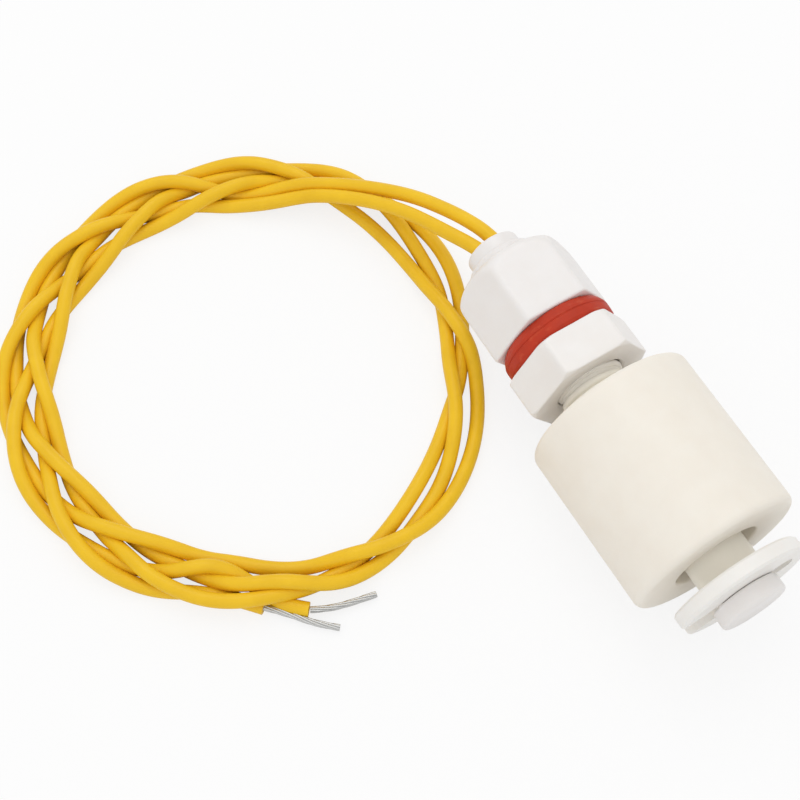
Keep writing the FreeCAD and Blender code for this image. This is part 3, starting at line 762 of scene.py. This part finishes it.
def woven_turns(turns):
    """One lead's loose turns: it swings across the bundle and rises to pass over others."""
    first, last = turns["first"], turns["last"]
    angle = np.linspace(first, last, round((last - first) / COIL_STEP) + 1)
    swing = np.radians(WEAVES * angle + turns["swing"])
    spread = COIL_SPREAD + COIL_WIDER * np.cos(np.radians(angle - WIDEST_AT))
    radius = COIL_RADIUS + spread * np.sin(swing)
    over = (np.sin(2 * swing) + OVERTONE * np.sin(4 * swing)) / OVER_PEAK
    height = FLOOR_HEIGHT + COIL_LIFT * (1 + over)
    joining = 1 - smooth_step((angle - first) / ENTER_OVER)
    parting = smooth_step((angle - last + LEAVE_OVER) / LEAVE_OVER)
    start, slope = turns["enter"]
    radius += joining * (start + slope * (angle - first) - radius)
    height += joining * (ENTER_HEIGHT - height)
    stop, slope = turns["leave"]
    radius += parting * (stop + slope * (angle - last) - radius)
    height += parting * (FLOOR_HEIGHT - height)
    way = np.radians(angle)
    return np.stack([COIL_X + radius * np.cos(way), COIL_Y + radius * np.sin(way),
                     np.maximum(height, FLOOR_HEIGHT)], 1), angle


def coiled_leads():
    """Both leads' points, their turns pressed apart where they would touch and sunk until
    they lie on the floor or each other, with the ends held."""
    places, angles, spans, start = [], [], [], 0
    for lead, leave in (("a", EXIT_A), ("b", EXIT_B)):
        turns, angle = woven_turns(LEAD_TURNS[lead])
        places.append(np.vstack([leave[-HELD:], turns]))
        angles.append(np.concatenate([angle[0] - 4 * np.arange(HELD, 0, -1), angle]))
        spans.append((start, start + len(angles[-1])))
        start = spans[-1][1]
    base, angle = np.vstack(places), np.concatenate(angles)
    lead = np.repeat([0, 1], [len(a) for a in angles])
    apart = ((lead[:, None] != lead[None])
             | (np.abs(angle[:, None] - angle[None]) > NEAR_ALONG))
    free = np.ones((len(base), 1))
    for start, stop in spans:
        free[start:start + HELD] = free[stop - 1] = 0
        free[stop - 4:stop - 1] = 0.5
    shift = np.zeros_like(base)
    for _ in range(SETTLE_ROUNDS):
        now = base + shift
        between = now[:, None] - now[None]
        gap = np.where(apart, np.linalg.norm(between, axis=2), np.inf)
        press = np.clip(SETTLE_GAP - gap, 0, None) / np.maximum(gap, 0.05)
        shift += PRESS * np.einsum("ij,ijk->ik", press, between) * free
        shift[:, 2] -= SINK * free[:, 0]
        shift[1:-1] = (1 - EASE) * shift[1:-1] + EASE / 2 * (shift[:-2] + shift[2:])
        shift *= free
        shift[:, 2] = np.maximum(base[:, 2] + shift[:, 2], FLOOR_HEIGHT) - base[:, 2]
    settled = base + shift
    found = {}
    for lead, leave, (start, stop) in zip("ab", (EXIT_A, EXIT_B), spans):
        turns = settled[start + HELD:stop]
        kept = [tuple(float(c) for c in p) for p in turns[:-1:2]]
        found[lead] = leave + kept + [tuple(float(c) for c in turns[-1])]
    return found


def line(name, points, bevel=0.0):
    """Smooth curve with these millimetre points as its control points."""
    data = bpy.data.curves.new(name, "CURVE")
    data.dimensions = "3D"
    spline = data.splines.new("NURBS")
    spline.points.add(len(points) - 1)
    for point, place in zip(spline.points, points):
        point.co = (*(c * MM for c in place), 1)
    spline.order_u = 3
    spline.use_endpoint_u = True
    spline.resolution_u = 6
    data.resolution_u = 6
    data.render_resolution_u = 0
    if bevel:
        data.bevel_depth = bevel
        data.bevel_resolution = 6
        data.use_fill_caps = True
    piece = bpy.data.objects.new(name, data)
    bpy.context.scene.collection.objects.link(piece)
    return piece


def run_length(curve):
    """Length of a curve's own line."""
    bare = curve.data.copy()
    bare.bevel_depth = 0
    probe = bpy.data.objects.new("probe", bare)
    bpy.context.scene.collection.objects.link(probe)
    bpy.context.view_layer.update()
    mesh = bpy.data.meshes.new_from_object(
        probe.evaluated_get(bpy.context.evaluated_depsgraph_get()))
    points = np.array([v.co for v in mesh.vertices])
    bpy.data.objects.remove(probe)
    bpy.data.meshes.remove(mesh)
    return float(np.linalg.norm(np.diff(points, axis=0), axis=1).sum())


def strand_tree():
    """Tree that twists strands round a curve."""
    tree, group_in, inputs, join = open_tree("Twisted strands", {
        "Strands": "Int", "Strand Diameter": "Float", "Lay": "Float",
        "Ring Radius": "Float", "Material": "Material"})
    new = tree.nodes.new

    def math_node(operation, first, second):
        made = new("ShaderNodeMath")
        made.operation = operation
        for slot, value in zip(made.inputs, (first, second)):
            if isinstance(value, (int, float)):
                slot.default_value = value
            elif value is not None:
                tree.links.new(value, slot)
        return made.outputs[0]

    def vector_node(operation, first, second):
        made = new("ShaderNodeVectorMath")
        made.operation = operation
        tree.links.new(first, made.inputs[0])
        if operation == "SCALE":
            tree.links.new(second, made.inputs["Scale"])
        else:
            tree.links.new(second, made.inputs[1])
        return made.outputs[0]

    sample = new("GeometryNodeResampleCurve")
    sample.inputs["Count"].default_value = 60
    copies = new("GeometryNodeDuplicateElements")
    copies.domain = "SPLINE"
    join(group_in, "Geometry", sample, "Curve")
    join(sample, "Curve", copies, "Geometry")
    join(group_in, "Strands", copies, "Amount")
    index = copies.outputs["Duplicate Index"]
    outer = math_node("GREATER_THAN", index, 0)
    count = math_node("SUBTRACT", group_in.outputs["Strands"], 1)
    along = new("GeometryNodeSplineParameter").outputs["Length"]
    turn = math_node("MULTIPLY", math_node("ADD", math_node("DIVIDE", index, count),
                                           math_node("DIVIDE", along,
                                                     group_in.outputs["Lay"])), 2 * math.pi)
    reach = math_node("MULTIPLY", group_in.outputs["Ring Radius"], outer)
    normal, tangent = new("GeometryNodeInputNormal"), new("GeometryNodeInputTangent")
    side = vector_node("CROSS_PRODUCT", tangent.outputs[0], normal.outputs[0])
    shift = vector_node(
        "ADD",
        vector_node("SCALE", normal.outputs[0],
                    math_node("MULTIPLY", math_node("COSINE", turn, None), reach)),
        vector_node("SCALE", side,
                    math_node("MULTIPLY", math_node("SINE", turn, None), reach)))
    move = new("GeometryNodeSetPosition")
    join(copies, "Geometry", move, "Geometry")
    tree.links.new(shift, move.inputs["Offset"])
    ring, sweep = new("GeometryNodeCurvePrimitiveCircle"), new("GeometryNodeCurveToMesh")
    ring.inputs["Resolution"].default_value = 10
    tree.links.new(math_node("MULTIPLY", group_in.outputs["Strand Diameter"], 0.5),
                   ring.inputs["Radius"])
    sweep.inputs["Fill Caps"].default_value = True
    join(move, "Geometry", sweep, "Curve")
    join(ring, "Curve", sweep, "Profile Curve")
    close_tree(tree, group_in, join, sweep, "Mesh")
    return tree, inputs


class LEVELSWITCH_OT_leads(bpy.types.Operator):
    """Two insulated leads in their loose coil, with bare tinned ends"""
    bl_idname = "levelswitch.leads"
    bl_label = "Leads"

    def execute(self, context):
        s, tones = context.scene.switch_sizes, context.scene.switch_colours
        jacket = Finish("Yellow insulation")
        cloud = jacket.noise(240, 3)
        ramp = jacket.ramp(cloud, "Fac", [(0.3, shade(tones.insulation, 0.93, 0.03)),
                                          (0.7, tones.insulation)])
        jacket.link(ramp, "Color", jacket.shader, "Base Color")
        jacket.set(IOR=1.5, Specular_IOR_Level=0.22)
        jacket.spread(jacket.noise(700, 2), "Fac", "Roughness", 0.28, 0.4)
        jacket.bump([(jacket.noise(420, 2), "Fac", 0.3, 0.0001),
                     (jacket.noise(4200, 2), "Fac", 0.1, 0.00003)])
        tin = Finish("Tinned strands")
        grain = tin.noise(1800, 3, 0.6)
        ramp = tin.ramp(grain, "Fac", [(0.3, shade(tones.tin, 0.84)), (0.7, tones.tin)])
        tin.link(ramp, "Color", tin.shader, "Base Color")
        tin.set(Metallic=1.0)
        tin.spread(grain, "Fac", "Roughness", 0.2, 0.38)
        tin.bump([(grain, "Fac", 0.25, 0.00005)])

        tree, inputs = strand_tree()
        stands_for = {"a": ["lead_a", "lead_coil"], "b": ["lead_b"]}
        routes = coiled_leads()
        for lead, leave, end in (("a", EXIT_A, END_A), ("b", EXIT_B, END_B)):
            cord = line("lead_wire_" + lead, routes[lead], s.lead_diameter / 2)
            strands = grown("tinned_strands_" + lead, line("tinned_line_" + lead, end), tree, {
                inputs["Strands"]: s.strand_count,
                inputs["Strand Diameter"]: s.strand_diameter,
                inputs["Lay"]: s.strand_lay,
                inputs["Ring Radius"]: s.strand_diameter * 0.86,
                inputs["Material"]: tin.material})
            settle(strands, "stem", tin.material, ["tinned_end_" + lead])
            settle(cord, "stem", jacket.material, stands_for[lead])
            real = run_length(cord)
            print("lead %s: %.1f mm" % (lead, real / MM))
        return {"FINISHED"}


# ------------------------------------------------------------------ stage
CAMERA_TARGET = (-21.41 * MM, -19.43 * MM, 0)
CAMERA_TURN, CAMERA_LIFT = math.radians(58.64), math.radians(65.08)
CAMERA_DISTANCE = 210.36 * MM
CAMERA_LENS = 68.86
FLOOR_REACH = 3.0
FLOOR_WHITE = 0.8       # share of plain white that the camera sees in the floor
ROOM_LIGHT, ROOM_SEEN = 0.8, 1.0
# Name, offset from the middle of the part (height from the floor), size and power.
LAMPS = (("key", (-0.35, 0.15, 0.6), 0.45, 0.8), ("fill", (0.4, -0.45, 0.5), 0.6, 0.35),
         ("top", (0.0, 0.0, 0.8), 0.6, 0.45))


def lamp(name, place, aim, size, power):
    """Square soft light aimed at a point."""
    data = bpy.data.lights.new(name, "AREA")
    data.energy, data.size = power, size
    piece = bpy.data.objects.new(name, data)
    piece.location = place
    piece.rotation_mode = "QUATERNION"
    piece.rotation_quaternion = (Vector(aim) - Vector(place)).to_track_quat("-Z", "Y")
    bpy.context.scene.collection.objects.link(piece)


class LEVELSWITCH_OT_stage(bpy.types.Operator):
    """White floor, soft lights, pale surroundings and the camera"""
    bl_idname = "levelswitch.stage"
    bl_label = "Stage"

    def execute(self, context):
        scene = context.scene
        scene.view_settings.view_transform = "Standard"
        mesh = bpy.data.meshes.new("floor")
        reach = FLOOR_REACH
        mesh.from_pydata([(-reach, -reach, 0), (reach, -reach, 0), (reach, reach, 0),
                          (-reach, reach, 0)], [], [(0, 1, 2, 3)])
        floor = bpy.data.objects.new("floor", mesh)
        scene.collection.objects.link(floor)
        paper = bpy.data.materials.new("White floor")
        paper.use_nodes = True
        tree = paper.node_tree
        tree.nodes.clear()
        new, join = tree.nodes.new, tree.links.new
        out, mix = new("ShaderNodeOutputMaterial"), new("ShaderNodeMixShader")
        matt, white, path = (new("ShaderNodeBsdfDiffuse"), new("ShaderNodeEmission"),
                             new("ShaderNodeLightPath"))
        matt.inputs["Color"].default_value = (0.9, 0.9, 0.9, 1)
        white.inputs["Color"].default_value = (1, 1, 1, 1)
        weight = new("ShaderNodeMath")
        weight.operation = "MULTIPLY"
        weight.inputs[1].default_value = FLOOR_WHITE
        join(path.outputs["Is Camera Ray"], weight.inputs[0])
        join(weight.outputs[0], mix.inputs[0])
        join(matt.outputs[0], mix.inputs[1])
        join(white.outputs[0], mix.inputs[2])
        join(mix.outputs[0], out.inputs["Surface"])
        floor.data.materials.append(paper)

        world = bpy.data.worlds.new("Pale room")
        scene.world = world
        world.use_nodes = True
        tree = world.node_tree
        tree.nodes.clear()
        new, join = tree.nodes.new, tree.links.new
        out, mix, path = (new("ShaderNodeOutputWorld"), new("ShaderNodeMixShader"),
                          new("ShaderNodeLightPath"))
        room, view = new("ShaderNodeBackground"), new("ShaderNodeBackground")
        room.inputs["Color"].default_value = (1, 1, 1, 1)
        room.inputs["Strength"].default_value = ROOM_LIGHT
        view.inputs["Color"].default_value = (1, 1, 1, 1)
        view.inputs["Strength"].default_value = ROOM_SEEN
        join(path.outputs["Is Camera Ray"], mix.inputs[0])
        join(room.outputs[0], mix.inputs[1])
        join(view.outputs[0], mix.inputs[2])
        join(mix.outputs[0], out.inputs["Surface"])

        middle = (CAD_LOW + CAD_HIGH) / 2
        for name, (aside, behind, height), size, power in LAMPS:
            lamp(name, (middle.x + aside, middle.y + behind, height), middle, size, power)

        flat = math.cos(CAMERA_LIFT)
        back = Vector((math.sin(CAMERA_TURN) * flat, -math.cos(CAMERA_TURN) * flat,
                       math.sin(CAMERA_LIFT)))
        data = bpy.data.cameras.new("camera")
        data.sensor_width = 36
        data.lens = CAMERA_LENS
        data.clip_start, data.clip_end = 0.01, 10
        camera = bpy.data.objects.new("camera", data)
        scene.collection.objects.link(camera)
        camera.location = Vector(CAMERA_TARGET) + back * CAMERA_DISTANCE
        camera.rotation_mode = "QUATERNION"
        camera.rotation_quaternion = (-back).to_track_quat("-Z", "Y")
        scene.camera = camera
        return {"FINISHED"}


class LEVELSWITCH_PT_panel(bpy.types.Panel):
    """Lists the steps that build the switch"""
    bl_idname = "LEVELSWITCH_PT_panel"
    bl_label = "Float level switch"
    bl_space_type = "VIEW_3D"
    bl_region_type = "UI"
    bl_category = "Level switch"

    def draw(self, context):
        for step in STEPS:
            self.layout.operator(step.bl_idname)
        for group in (context.scene.switch_sizes, context.scene.switch_colours):
            box = self.layout.box()
            for name in group.__annotations__:
                box.prop(group, name)


STEPS = (LEVELSWITCH_OT_stage, LEVELSWITCH_OT_leads, LEVELSWITCH_OT_housing,
         LEVELSWITCH_OT_seal, LEVELSWITCH_OT_float, LEVELSWITCH_OT_clip,
         LEVELSWITCH_OT_contact)
CLASSES = (SwitchSizes, SwitchColours, *STEPS, LEVELSWITCH_PT_panel)


def register():
    for cls in CLASSES:
        bpy.utils.register_class(cls)
    bpy.types.Scene.switch_sizes = PointerProperty(type=SwitchSizes)
    bpy.types.Scene.switch_colours = PointerProperty(type=SwitchColours)


def unregister():
    del bpy.types.Scene.switch_sizes
    del bpy.types.Scene.switch_colours
    for cls in reversed(CLASSES):
        bpy.utils.unregister_class(cls)


def main():
    register()
    bpy.ops.levelswitch.stage()
    bpy.ops.levelswitch.leads()
    bpy.ops.levelswitch.housing()
    bpy.ops.levelswitch.seal()
    bpy.ops.levelswitch.float_drum()
    bpy.ops.levelswitch.clip()
    bpy.ops.levelswitch.contact()


if __name__ == "__main__":
    main()
